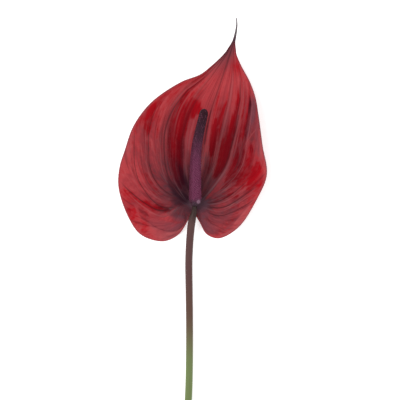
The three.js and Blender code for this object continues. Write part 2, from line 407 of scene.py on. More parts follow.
class Graph:
    """Adds nodes to a tree."""

    def __init__(self, tree):
        self.tree = tree

    def node(self, kind, settings=None, output=None, **inputs):
        """Adds a node: its settings first, then its sockets by identifier with _ for spaces."""
        node = self.tree.nodes.new(kind)
        for name, value in (settings or {}).items():
            if name == "stops":
                self.set_stops(node.color_ramp, value)
            else:
                setattr(node, name, value)
        sockets = {socket.identifier.replace(" ", "_"): socket for socket in node.inputs}
        for name, value in inputs.items():
            self.fill(sockets[name], value)
        outputs = {socket.identifier: socket for socket in node.outputs}
        return Field(self, outputs[output] if output else next(iter(outputs.values()), None))

    def set_stops(self, ramp, stops):
        while len(ramp.elements) < len(stops):
            ramp.elements.new(1.0)
        for element, (position, tone) in zip(ramp.elements, stops):
            element.position = position
            element.color = tone

    def fill(self, socket, value):
        if isinstance(value, Field):
            self.tree.links.new(value.socket, socket)
        else:
            socket.default_value = value

    def math(self, operation, first, second=0.0):
        return self.node("ShaderNodeMath", {"operation": operation}, Value=first, Value_001=second)

    def smooth(self, value, start, full):
        """0 at start and 1 at full, with soft ends."""
        settings = {"interpolation_type": "SMOOTHSTEP"}
        return self.node("ShaderNodeMapRange", settings, Value=value, From_Min=start, From_Max=full)

    def mix(self, factor, first, second):
        """From the first colour to the second as the factor goes from 0 to 1."""
        settings = {"data_type": "RGBA"}
        return self.node(
            "ShaderNodeMix", settings, "Result_Color", Factor_Float=factor, A_Color=first, B_Color=second
        )

    def ramp(self, factor, stops):
        """A colour that changes with the factor, from a place and a colour for each stop."""
        return self.node("ShaderNodeValToRGB", {"stops": stops}, "Color", Fac=factor)

    def blend(self, factor, first, second):
        """From the first number to the second as the factor goes from 0 to 1."""
        return first + (second - first) * factor

    def vector(self, x, y, z=0.0):
        return self.node("ShaderNodeCombineXYZ", X=x, Y=y, Z=z)

    def parts(self, vector):
        split = self.node("ShaderNodeSeparateXYZ", Vector=vector).socket.node
        return [Field(self, socket) for socket in split.outputs]


class Material(Graph):
    """A material with one surface shader."""

    def __init__(self, name):
        self.made = bpy.data.materials.new(name)
        self.made.use_nodes = True
        self.made.node_tree.nodes.clear()
        super().__init__(self.made.node_tree)

    def attribute(self, name):
        return self.node("ShaderNodeAttribute", {"attribute_name": name}, "Fac")

    def place(self):
        """Object coordinates in millimetres from the joint."""
        here = self.node("ShaderNodeTexCoord", output="Object")
        scaled = self.node("ShaderNodeVectorMath", {"operation": "SCALE"}, Vector=here, Scale=1 / MM)
        return self.node(
            "ShaderNodeVectorMath", {"operation": "SUBTRACT"}, Vector=scaled, Vector_001=tuple(JOINT)
        )

    def noise(self, vector, scale, detail=2.0, roughness=0.5):
        """Soft noise round 0.5."""
        return self.node(
            "ShaderNodeTexNoise", Vector=vector, Scale=scale, Detail=detail, Roughness=roughness
        )

    def bump(self, height, distance, strength):
        """Height is a share of the distance, in millimetres."""
        return self.node("ShaderNodeBump", Height=height, Distance=distance * MM, Strength=strength)

    def oval(self, centre, radii):
        """0 at the centre of an upright oval, 1 on its edge and more beyond, in millimetres."""
        x, y, _ = self.parts(self.place())
        return ((x - centre[0]) / radii[0]) ** 2 + ((y - centre[1]) / radii[1]) ** 2

    def coats(self, skin, value, coats):
        """Lays colours over a skin, each from the value where it starts to the one where it is full."""
        for start, full, tone in coats:
            skin = self.mix(self.smooth(value, start, full), skin, tone)
        return skin

    def surface(self, **inputs):
        shader = self.node("ShaderNodeBsdfPrincipled", **inputs)
        self.node("ShaderNodeOutputMaterial", Surface=shader)
        return self.made


# Spathe.


def bow_height(along, across):
    arch = np.sin(math.pi * across)
    dome = LOBE_DOME * np.sin(math.pi * along / LOBE_SHARE)
    cup = CUP_DEPTH * np.sin(math.pi * (along - LOBE_SHARE) / (1 - LOBE_SHARE))
    return arch * np.where(along < LOBE_SHARE, dome, -cup)


def wave_height(along, across):
    envelope = across**3 * np.sin(math.pi * along)
    return WAVE_HEIGHT * envelope * np.sin(2 * math.pi * WAVE_COUNT * along)


def flow_angle(fan, reach):
    """The angle that the vein through each point has in mid-blade."""
    pinch = np.where(fan < 0, LEFT_PINCH, RIGHT_PINCH)
    below = np.clip(VEIN_MIDDLE - reach, 0, PINCH_LIMIT)
    outer = np.maximum(abs(fan) - VEIN_STRAIGHT, 0) / (1 - pinch * below**2)
    return np.sign(fan) * (np.minimum(abs(fan), VEIN_STRAIGHT) + outer)


def strand_angle(flow, reach):
    """The angle that the fine strand through each point has in mid-blade."""
    lean = STRAND_LEAN * smooth(abs(flow), VEIN_STRAIGHT, VEIN_STRAIGHT + STRAND_BLEND)
    return flow - np.sign(flow) * lean * (reach - VEIN_MIDDLE)


def between_veins(flow, reach):
    """0 on a vein and 1 midway between two."""
    lines = [angle + lean * (reach - VEIN_MIDDLE) for angle, lean in VEINS]
    lines = [np.full(flow.shape, -BEYOND_VEINS), *lines, np.full(flow.shape, BEYOND_VEINS)]
    height = np.zeros(flow.shape)
    for line, after in zip(lines, lines[1:]):
        share = np.clip((flow - line) / (after - line), 0, 1)
        height = np.maximum(height, np.sin(math.pi * share))
    return height


def vein_depth(height, reach, across):
    """How far the blade dips at each height between two veins."""
    envelope = smooth(reach, VEIN_START, VEIN_FULL) * (1 - smooth(across, VEIN_FADE, 1))
    return VEIN_DEPTH * (1 - height**VEIN_SHARPNESS) * envelope


def column_ends():
    """Where the columns of one half end, as along and across, from the notch to the midrib."""
    up_margin = (np.arange(MARGIN_COLUMNS) / MARGIN_COLUMNS) ** MARGIN_COLUMN_POWER
    over_tip = 1 - np.arange(TIP_COLUMNS) / TIP_COLUMNS
    along = np.concatenate([up_margin, np.ones(TIP_COLUMNS)])
    across = np.concatenate([np.ones(MARGIN_COLUMNS), over_tip])
    return along, across


def row_reaches(length):
    """Shares of the way out for the rows of a column: even ones, then the rim's."""
    rim = BLADE_THICKNESS / 2 * (1 - np.sin(np.linspace(0, math.pi / 2, RIM_ROWS + 1)))
    inner = (np.arange(1, ROWS + 1) / (ROWS + 1)) ** ROW_POWER
    start = 1 - rim[0] / length
    return np.concatenate([inner * start, 1 - rim / length])


def blade_half(margin, side):
    """Grids of the points of one half, from the notch's edge to the midrib, and of their fields."""
    end_along, end_across = column_ends()
    if side > 0:
        end_along, end_across = np.append(end_along, 1.0), np.append(end_across, 0.0)
    chord = np.linalg.norm(margin.at(end_along) - midrib.at(end_along), axis=1)
    reach = np.array([row_reaches(length) for length in np.maximum(chord, SHORTEST_COLUMN)])
    along = end_along[:, None] * reach
    across = end_across[:, None] * reach
    inner = midrib.at(MIDRIB_LAG * along + (1 - MIDRIB_LAG) * along**2)
    outer = margin.at(along)
    points = lerp(inner, outer, across[..., None])
    points[..., 2] += bow_height(along, across) + wave_height(along, across)
    fan = np.degrees(np.arctan2(across, FAN_STRETCH * along))
    rim_gap = (1 - across) * np.linalg.norm(outer - inner, axis=-1)
    fields = {"along": along, "across": across, "reach": reach, "fan": side * fan, "rim_gap": rim_gap}
    return points, fields


def blade_grid():
    """Both halves side by side: columns from the notch's left edge round to its right edge."""
    left_points, left = blade_half(left_margin, -1)
    right_points, right = blade_half(right_margin, 1)
    points = np.concatenate([left_points, right_points[::-1]])
    fields = {name: np.concatenate([left[name], right[name][::-1]]) for name in left}
    fields["flow"] = flow_angle(fields["fan"], fields["reach"])
    fields["strand"] = strand_angle(fields["flow"], fields["reach"])
    turn = np.gradient(fields["flow"], axis=0)
    steps = np.linalg.norm(np.gradient(points[..., :2], axis=0), axis=-1)
    fields["span"] = steps / np.maximum(turn, LEAST_TURN)
    fields["pillow"] = between_veins(fields["flow"], fields["reach"])
    points[..., 2] -= vein_depth(fields["pillow"], fields["reach"], fields["across"])
    points[..., 2] = np.maximum(points[..., 2], BLADE_THICKNESS / 2)
    return points, fields


def half_thickness(rim_gap):
    """Half the blade's thickness: whole inside, and rounded off at the rim."""
    radius = BLADE_THICKNESS / 2
    inside = np.clip(rim_gap / radius, 0, 1)
    return radius * np.sqrt(1 - (1 - inside) ** 2)


def cusp_grid():
    """Points across the cusp, row by row, and half its thickness at each."""
    path = Path(CUSP_PATH)
    share = (np.arange(1, CUSP_ROWS + 1) / CUSP_ROWS)[:, None]
    across = np.linspace(-1, 1, CUSP_COLUMNS)[None, :]
    rolled = smooth(share, 0, CUSP_BLEND)
    tip = np.sqrt(1 - smooth(share, *CUSP_POINT) ** 2)
    half_width = lerp(CUSP_ROOT_WIDTH, CUSP_END_WIDTH, share**CUSP_TAPER_POWER) / 2 * tip
    place = lerp(across, np.sin(across * math.pi / 2), rolled)
    side = level_side(path.direction(share[:, 0]))
    points = path.at(share[:, 0])[:, None] + side[:, None] * (half_width * place)[..., None]
    round_half = half_width * np.sqrt(np.maximum(1 - place**2, 0))
    flat_half = half_thickness((1 - abs(across)) * half_width)
    return points, lerp(flat_half, round_half, rolled), np.broadcast_to(share, round_half.shape)


# Streaks on the blade are drawn on a chart of the fan angle across and the reach up, on which a degree
# is as long as a hundredth of reach.
STREAK_TAPER = 0.45  # how much narrower a streak's ends are than its middle
STREAK_OUTSIDE = 2.1  # half widths from the streak's line at which it has faded away
STREAK_CORE = 0.1  # and within which it is full


def streak_share(fan, reach, streaks):
    """How far each point of the blade is inside any of the streaks."""
    chart = np.stack([fan, 100 * reach], axis=-1)
    covered = np.zeros(fan.shape)
    for start_fan, start_reach, end_fan, end_reach, half_width, strength in streaks:
        start = np.array([start_fan, start_reach])
        run = np.array([end_fan, end_reach]) - start
        share = np.clip(((chart - start) @ run) / (run @ run), 0, 1)
        gap = np.linalg.norm(chart - start - share[..., None] * run, axis=-1)
        width = half_width * (1 - STREAK_TAPER * (2 * share - 1) ** 2)
        inside = smooth(gap, STREAK_OUTSIDE * width, STREAK_CORE * width)
        covered = np.maximum(covered, strength * inside)
    return covered


# Streaks where the red is clear of the painted sheen, reflected soft light: fan angle in degrees and reach
# in hundredths of both ends, half width in degrees, and strength. The four lists below it hold the same six.
CLEAR_RED = [
    (-72, 94, -60, 92, 4, 0.4),
    (-71, 93, -66, 80, 1.6, 0.5),
    (-67, 97.5, -63.5, 88, 2.4, 0.8),
    (-63.5, 84, -62.5, 74, 1.6, 0.4),
    (-60, 93, -59, 74, 1.25, 0.7),
    (-60, 99, -58.5, 92, 1.4, 0.2),
    (-59, 76, -56.5, 58, 1.6, 0.9),
    (-57, 62, -53, 45, 1.8, 0.95),
    (-49.5, 96, -41, 93, 2.6, 0.45),
    (-45.4, 95.5, -43.3, 86, 1.5, 1.3),
    (-42.6, 96, -41.4, 85, 1, 0.6),
    (-44.5, 90, -42.2, 76, 1.4, 1),
    (-40, 95, -37, 75, 1.6, 0.45),
    (-37, 90, -30, 82, 3.8, 0.55),
    (-49, 72, -46.5, 52, 1, 0.4),
    (-41, 82, -38, 64, 1.2, 0.4),
    (-32, 87, -30.5, 72, 2, 0.9),
    (-31, 74, -30.5, 54, 1.5, 0.65),
    (-30, 78, -16, 75, 3.5, 0.45),
    (-29, 76, -25, 60, 2.4, 1),
    (-28.5, 66, -26, 34, 3.4, 0.9),
    (-22.8, 74, -21.2, 36, 3.2, 1.2),
    (-21, 73.5, -11.5, 71.5, 2.4, 1.4),
    (-20, 71, -15, 69, 2.2, 1.3),
    (-19.4, 70, -19.1, 60, 1.6, 1.2),
    (4, 80, 5, 66, 2.2, 0.5),
    (3, 74, 16, 73, 3, 0.45),
    (8.3, 68, 10.5, 53, 3.1, 1.6),
    (10.5, 54, 12.5, 42, 2, 0.6),
    (12.5, 65, 12, 56, 1.4, 0.8),
    (10.5, 66, 16, 76, 2.1, 1.1),
    (15.8, 72, 14.4, 60, 1.2, 0.8),
    (21, 60, 21.5, 42, 3, 1.1),
    (27, 69, 24, 42, 4, 1.2),
    (28.2, 82, 28.4, 70, 1.6, 1),
    (27.5, 72, 27, 58, 2.2, 1),
    (14, 93, 33, 91, 2.4, 0.9),
    (33.6, 94, 32.8, 85, 2.2, 0.5),
    (34, 78, 35, 60, 1.8, 0.55),
    (36.2, 57, 34.5, 44, 2.3, 1),
    (38.3, 87, 37, 66, 1.4, 0.9),
    (57, 95, 53.5, 86, 2.2, 0.85),
    (51.8, 89, 50.8, 76, 2.5, 1.2),
    (55, 88, 54.5, 78, 1.6, 0.7),
    (49.5, 80, 48, 68, 2.4, 0.9),
    (54.5, 70, 52, 60, 1.4, 0.7),
    (60, 78, 58.5, 68, 1.1, 0.6),
    (47, 50, 42, 36, 2, 0.45),
    (41, 50, 39, 40, 1.3, 0.85),
    (48, 74, 44.5, 60, 2.6, 0.9),
    (45.6, 82, 43.4, 65, 1.7, 0.9),
    (39.4, 72, 39.6, 56, 1.1, 0.6),
    (39.2, 82, 38.8, 70, 0.9, 0.6),
    (43.5, 62, 40, 48, 1.8, 0.7),
    (40.5, 72, 39, 52, 1.2, 0.6),
    (38, 56, 36, 42, 2.2, 0.8),
    (48, 60, 45, 50, 1.2, 0.5),
    (50.5, 61, 48.5, 50, 1.4, 0.7),
    (64, 98, 60, 88, 2, 0.4),
    (72, 97, 70, 88, 1.2, 0.4),
    (78, 95, 75, 82, 1.2, 0.3),
]
# Streaks of shade.
SHADE = [
    (41.6, 71, 41.6, 67, 1.2, 0.3),
    (-66, 99, -65, 94, 1.8, 0.3),
    (28.1, 75, 28.1, 71, 1.2, 0.3),
    (-63, 83, -63, 75, 1.2, 0.5),
    (-35, 38, -30, 20, 4.6, 0.62),
    (-32, 26, -22, 22, 5, 1.1),
    (-24, 46, -21, 28, 4.8, 0.5),
    (-65, 85, -66.5, 78, 0.8, 0.45),
    (-66.5, 78, -75.6, 74.5, 0.8, 0.45),
    (-22, 44, -12, 28, 4.5, 0.68),
    (-14, 52, -12, 34, 3, 0.5),
    (-19.5, 45, -19, 58, 1.2, 0.5),
    (-28, 38, -27, 50, 3.2, 0.3),
    (-44, 38, -38, 25, 3, 0.4),
    (0.2, 73, 0.8, 58, 1.3, 0.65),
    (-88, 100, -85, 95, 2.5, 0.5),
    (45.5, 82, 46, 72, 1.4, 0.4),
    (38.8, 82, 38.8, 70, 1.3, 0.6),
    (39.2, 70, 39.4, 56, 1.3, 0.45),
    (5, 38, 14, 26, 3.4, 0.3),
    (19, 30, 22, 24, 2, 0.2),
    (14, 26, 34, 20, 3.2, 0.15),
    (9, 48, 11, 36, 3, 0.4),
    (39, 88, 38.1, 80, 1, 0.85),
    (43.5, 99, 42.6, 88, 1.3, 0.3),
    (41, 100, 46.5, 100, 2.4, 0.45),
    (42, 95, 40.2, 78, 2.2, 0.28),
    (38, 80, 37, 70, 0.8, 0.4),
    (47, 34, 40, 25, 1.8, 0.45),
]
# Streaks of pale painted sheen, where steep and turned parts reflect the most soft light.
PALE_SHEEN_STREAKS = [
    (47, 96, 46.5, 88, 2, 0.3),
    (-18, 46, -14, 60, 2.8, 0.15),
    (-80, 95, -74, 60, 5, 0.75),
    (-84, 90, -76, 50, 5, 0.6),
    (-62, 42, -70, 50, 5, 0.5),
    (-70, 80, -68, 60, 4, 0.5),
    (42, 96, 40.4, 84, 1.5, 1.2),
    (40.6, 86, 39.8, 74, 1.1, 0.7),
    (46, 98, 44, 90, 1.4, 0.5),
    (45, 90, 50, 95, 1.6, 0.6),
    (56, 60, 66, 55, 5, 0.2),
    (58, 38, 70, 45, 5, 0.6),
    (48, 28, 72, 32, 6, 0.6),
    (70, 72, 64, 50, 4, 0.25),
    (64, 93, 72, 88, 4, 0.5),
    (66, 99, 76, 95, 3, 0.6),
    (48.8, 98, 48.6, 90, 1.4, 0.65),
    (-52.6, 98, -51.6, 93, 1.6, 0.35),
    (-31, 94, -29.5, 88, 1.8, 0.5),
    (82, 90, 74, 50, 5, 0.75),
    (60, 75, 67, 70, 4, 0.3),
    (55, 100, 46, 100, 2.5, 0.6),
]
# Streaks where the painted sheen and the red are brighter, and where they are darker.
BRIGHT = [
    (36, 93, 33.5, 84, 2.5, 0.4),
    (32, 31, 33, 25, 3, 0.7),
    (-22.5, 78, -22.5, 70, 1.6, 0.7),
    (-25.4, 56, -26.5, 50, 1.6, 0.4),
    (-30.8, 68, -30.6, 62, 1.4, 0.4),
    (-69, 74, -63, 50, 5, 0.6),
    (-74, 90, -72, 80, 4.5, 0.5),
    (-70, 98, -70, 78, 3.5, 0.6),
    (-81, 84, -76, 80, 4.5, 0.9),
    (-59, 99, -58, 96, 2, 0.8),
    (-53, 86, -49, 68, 2, 0.6),
    (67, 98, 68, 90, 2.5, 0.8),
    (62.5, 99, 63, 95, 2, 0.6),
    (-24, 68, -23, 58, 2, 0.7),
    (-35.5, 90, -35, 76, 2, 0.6),
    (-37, 95, -36.5, 66, 4, 0.8),
    (-30, 86, 4, 82, 9, 0.7),
    (-29, 86, -26, 76, 4, 0.9),
    (12, 82, 30, 84, 6, 0.5),
    (-55, 96, -54, 88, 3, 0.5),
    (-51, 82, -51, 68, 3.5, 0.2),
    (-59, 80, -56, 60, 2, 0.5),
    (-14, 62, -14, 48, 3, 0.4),
    (-37, 80, -33, 76, 4, 0.65),
    (-70, 64, -60, 52, 4.5, 0.8),
    (5, 78, 4, 55, 3, 0.6),
    (20, 60, 20, 42, 3.5, 0.6),
    (35, 50, 34, 30, 4, 0.6),
    (54, 60, 60, 35, 5, 0.4),
]
DULL = [
    (84, 90, 80, 45, 5, 0.4),
    (59, 98, 58.5, 90, 2, 0.4),
    (-62, 40, -70, 38, 6, 0.3),
    (-46, 86, -44, 70, 3, 0.5),
    (60, 88, 60, 60, 5, 0.4),
    (68, 86, 67, 76, 3.5, 0.5),
    (77, 90, 76, 80, 4, 0.5),
    (44, 97, 43, 80, 4, 0.8),
    (-14, 97, 10, 96.5, 4, 0.9),
    (-14, 91, 6, 91, 3, 0.5),
    (30, 70, 30, 58, 2, 0.7),
    (-48, 97, -47, 82, 2, 0.3),
]


def sheet_faces(columns, rows):
    """The upper faces. Point 0 is the hub, and then come the blade's points and the cusp's."""
    blade = 1 + np.arange(columns * rows).reshape(columns, rows)
    cusp = 1 + blade[-1, -1] + np.arange(CUSP_ROWS * CUSP_COLUMNS).reshape(CUSP_ROWS, CUSP_COLUMNS)
    tip = blade[MARGIN_COLUMNS : MARGIN_COLUMNS + CUSP_COLUMNS, -1]
    blade_faces = cells(blade).reshape(-1, 4)[:, ::-1]
    cusp_faces = cells(np.vstack([tip, cusp])).reshape(-1, 4)
    return blade_faces.tolist() + fan_faces(0, blade[::-1, 0]) + cusp_faces.tolist()


def painted_fields(fields, cusp_share, over_all):
    """The fields that the spathe's colours read, over the hub, the blade and the cusp."""
    cusp_fan = np.linspace(-CUSP_FAN, CUSP_FAN, CUSP_COLUMNS)[None, :]
    cusp_gap = CUSP_RIM_GAP * (1 - abs(cusp_fan) / CUSP_FAN)

    def streaked(streaks):
        return over_all(0, streak_share(fields["fan"], fields["reach"], streaks), 0)

    return {
        "flow": over_all(0, fields["flow"], cusp_fan),
        "strand": over_all(0, fields["strand"], cusp_fan),
        "reach": over_all(0, fields["reach"], 1),
        "along": over_all(0, fields["along"], 1 + cusp_share),
        "span": over_all(0, fields["span"], CUSP_SPAN),
        "rim_gap": over_all(HUB_RIM_GAP, fields["rim_gap"], cusp_gap),
        "clear_red": streaked(CLEAR_RED),
        "shade": streaked(SHADE),
        "thick_wax": streaked(PALE_SHEEN_STREAKS),
        "tone": streaked(BRIGHT) - streaked(DULL),
    }


def build_spathe_mesh():
    """The blade's two faces and the cusp as one closed skin."""
    grid, fields = blade_grid()
    cusp, cusp_half, cusp_share = cusp_grid()
    sheet = np.vstack([midrib.at(0), grid.reshape(-1, 3), cusp.reshape(-1, 3)])

    def over_all(at_hub, on_blade, on_cusp):
        on_cusp = np.broadcast_to(on_cusp, cusp_half.shape)
        return np.concatenate([[at_hub], on_blade.ravel(), on_cusp.ravel()])

    notch_gap = (NOTCH_FAN - abs(fields["fan"])) * np.maximum(fields["span"], LEAST_SPAN)
    blade_half_thickness = half_thickness(np.minimum(fields["rim_gap"], notch_gap))
    half = over_all(0, blade_half_thickness, cusp_half)
    closed = half < NO_THICKNESS
    below = np.where(closed, np.arange(len(sheet)), len(sheet) + np.cumsum(~closed) - 1)
    lift = half[:, None] * np.array([0, 0, 1])
    points = np.vstack([sheet + lift, (sheet - lift)[~closed]])
    upper = sheet_faces(*fields["fan"].shape)
    lower = [below[face[::-1]].tolist() for face in upper]
    painted = painted_fields(fields, cusp_share, over_all)
    painted = {name: np.concatenate([values, values[~closed]]) for name, values in painted.items()}
    painted["back"] = np.arange(len(points)) >= len(sheet)
    return new_mesh("spathe_skin", points, upper + lower, **painted)


# Veins: dark ones, and pale ones painted as sheen on their ridges. Angle and lean as in VEINS, the reach
# where each starts and ends, its width in millimetres and its strength.
VEIN_IN = 0.08  # a vein comes in and runs out over so much reach on each side of its ends
VEIN_OUT = 0.06
VEIN_EDGE = 0.75  # shares of its width from its line where it has faded away and where it is full
VEIN_CORE = 0.2
VALLEY_SHADE_SPREAD = 4  # how much wider the painted shade in the valleys round dark veins is
DARK_VEINS = [
    (-0.2, 6, 0.5, 0.97, 1.3, 0.6),
    (16.5, 8, 0.6, 0.9, 1.1, 0.4),
    (22, 2, 0.35, 0.65, 1.0, 0.3),
    (28.3, 14, 0.7, 0.86, 1.1, 0.6),
    (30.4, 12, 0.38, 0.68, 1.1, 0.8),
    (38, 0, 0.5, 0.85, 1.4, 0.8),
    (40.6, -6, 0.42, 0.7, 0.8, 0.5),
    (48.2, -8, 0.7, 0.9, 1.1, 0.5),
    (50.3, -2, 0.26, 0.72, 1.4, 1),
    (56.6, 0, 0.28, 0.88, 1.5, 1),
    (62.8, -3, 0.4, 0.96, 1.3, 0.9),
    (71, 10, 0.5, 0.9, 1.1, 0.5),
    (80, 0, 0.5, 0.85, 1.0, 0.3),
    (-10.7, 1, 0.35, 0.65, 1.3, 0.45),
    (-19.7, 9, 0.48, 0.8, 1.4, 0.5),
    (-33, 12, 0.3, 0.86, 1.2, 0.9),
    (-43.9, 9, 0.34, 0.88, 1.5, 1),
    (-48.6, 7, 0.5, 0.82, 1.3, 0.7),
    (-53.8, 15, 0.36, 0.95, 1.4, 1),
    (-58.1, -3, 0.42, 0.93, 1.5, 1),
    (-79, 5, 0.36, 0.8, 1.3, 0.6),
]
# Pale veins, painted as the sheen that their ridges catch.
PALE_SHEEN_VEINS = [
    (3.5, -8, 0.6, 0.8, 1.1, 0.4),
    (18.5, 10, 0.34, 0.86, 1.7, 0.75),
    (28.2, -8, 0.3, 0.5, 1.2, 0.4),
    (31.6, 6, 0.25, 0.66, 1.5, 0.8),
    (31.8, 10, 0.58, 0.86, 1.4, 0.7),
    (38.8, 22, 0.7, 0.9, 1.2, 0.5),
    (41.2, -4, 0.38, 0.88, 1.3, 0.8),
    (48, 0, 0.3, 0.6, 1.2, 0.4),
    (52.9, 2, 0.3, 0.76, 1.4, 0.8),
    (59, -3, 0.3, 0.85, 1.3, 0.5),
    (-13.3, 6, 0.5, 0.68, 1.6, 0.6),
    (-17.2, -8, 0.35, 0.65, 1.3, 0.4),
    (-21.5, -8, 0.7, 0.9, 1.2, 0.4),
    (-27.5, -6, 0.6, 0.8, 1.3, 0.6),
    (-35.3, 16, 0.4, 0.85, 1.4, 0.8),
    (-39, 4, 0.35, 0.7, 1.2, 0.4),
    (-45.6, 8, 0.45, 0.85, 1.3, 0.6),
    (-50.9, 8, 0.5, 0.85, 1.4, 0.6),
    (-56.8, 18, 0.7, 0.9, 1.2, 0.5),
    (-61, 5, 0.5, 0.88, 1.5, 0.6),
    (-31.5, 0, 0.26, 0.36, 0.7, 0.6),
    (-37, 0, 0.26, 0.36, 0.7, 0.5),
]

# Colours of the spathe. In a list, each stands at a reach, or from one place along the blade to
# another.
RUBY = [
    (0.2, colour(60, 12, 24)),
    (0.4, colour(94, 4, 16)),
    (0.55, colour(112, 5, 17)),
    (0.7, colour(138, 7, 19)),
    (0.95, colour(172, 12, 25)),
]
# Painted sheen: the red as reflected soft light pales it, at each reach.
SHEENED_RED = [
    (0.12, colour(56, 38, 46)),
    (0.3, colour(84, 42, 50)),
    (0.42, colour(104, 42, 50)),
    (0.55, colour(126, 44, 51)),
    (0.7, colour(144, 47, 54)),
    (0.92, colour(168, 54, 60)),
    (1, colour(178, 60, 65)),
]
# Pale painted sheen, at each reach.
PALE_SHEEN_RED = [
    (0.4, colour(100, 57, 68)),
    (0.7, colour(122, 62, 72)),
    (0.88, colour(128, 62, 70)),
    (0.98, colour(172, 86, 90)),
]
# Painted sheen on the pale veins, at each reach.
PALE_VEIN_SHEEN = [(0.25, colour(92, 76, 82)), (0.5, colour(130, 65, 70)), (0.85, colour(170, 80, 84))]
UNDERSIDE = [(0.3, colour(112, 70, 62)), (0.8, colour(150, 66, 66))]
CUSP_COATS = [(0.985, 1.02, colour(72, 56, 64)), (1.05, 1.35, colour(98, 94, 96))]
THREAD = colour(92, 20, 30)
# Pink lines of painted sheen along the strands.
PINK_SHEEN_LINE = colour(182, 84, 86)
DARK_PLUM = colour(38, 12, 24)
DARK_VEIN = colour(68, 20, 27)
JOINT_GREY_TONE = colour(92, 66, 78)
GREY_TIP = colour(94, 58, 66)
GREY_RIM = colour(104, 60, 70)
UNDERSIDE_VEIN = colour(98, 48, 48)

# Soft ovals near the joint, with their centre and half widths, and where their edges start and are
# full.
THROAT = ((-8, 10), (8, 12))
THROAT_EDGE = (2.2, 0.3)
# A grey patch right of the joint.
JOINT_GREY = ((4, 1.8), (8.5, 4.8))
JOINT_GREY_EDGE = (1.7, 0.1)

# Soft edges of the other colours in the same way: along the blade, over the fan or in millimetres.
CLEAR_EDGE = (-0.05, 1.1)
SHADE_EDGE = (0, 1.05)
THREAD_EDGE = (0.03, 0.2)
LINE_EDGE = (0.02, 0.3)
LINE_REACH = (0.3, 0.75)
LEFT_TIP = (0.84, 0.98)
LEFT_TIP_FAN = (5, -22)
RIGHT_TIP = (0.87, 1.02)
RIGHT_TIP_FAN = (36, 22)
RIM_EDGE = (1.5, 0.2)
RIM_ALONG = (0.38, 0.55)
WAX_REACH = (0.2, 0.5)
FLECK_EDGE = (0.02, 0.14)

# How strongly each colour covers the ones under it.
THREAD_COVER = 0.45
LINE_COVER = 0.3
SHADE_COVER = 0.9
PALE_VEIN_SHEEN_COVER = 0.75
DARK_VEIN_COVER = 0.66
VALLEY_SHADE_COVER = 0.08
JOINT_GREY_COVER = 0.7
TIP_COVER = 0.85
RIM_COVER = 0.3  # below RIM_ALONG, and twice this above it
UNDERSIDE_VEIN_COVER = 0.5

# Grain of the spathe: widths in degrees of the cells that run with its strands, how far the flecks,
# the throat and the ragged noise move an edge, and the gloss of wax, of bare red and of shade.
BAND_WIDTH = 4.5
STREAK_WIDTH = 1.6
FLECK_WIDTH = 0.8
THREADS_A_DEGREE = 0.9
FLECK_SHIFT = 0.18
THROAT_SHIFT = 0.3
RAGGED_SHIFT = 0.45
WAX_COAT = 0.2
BARE_COAT = 0.03
SHADE_DULLING = 0.8


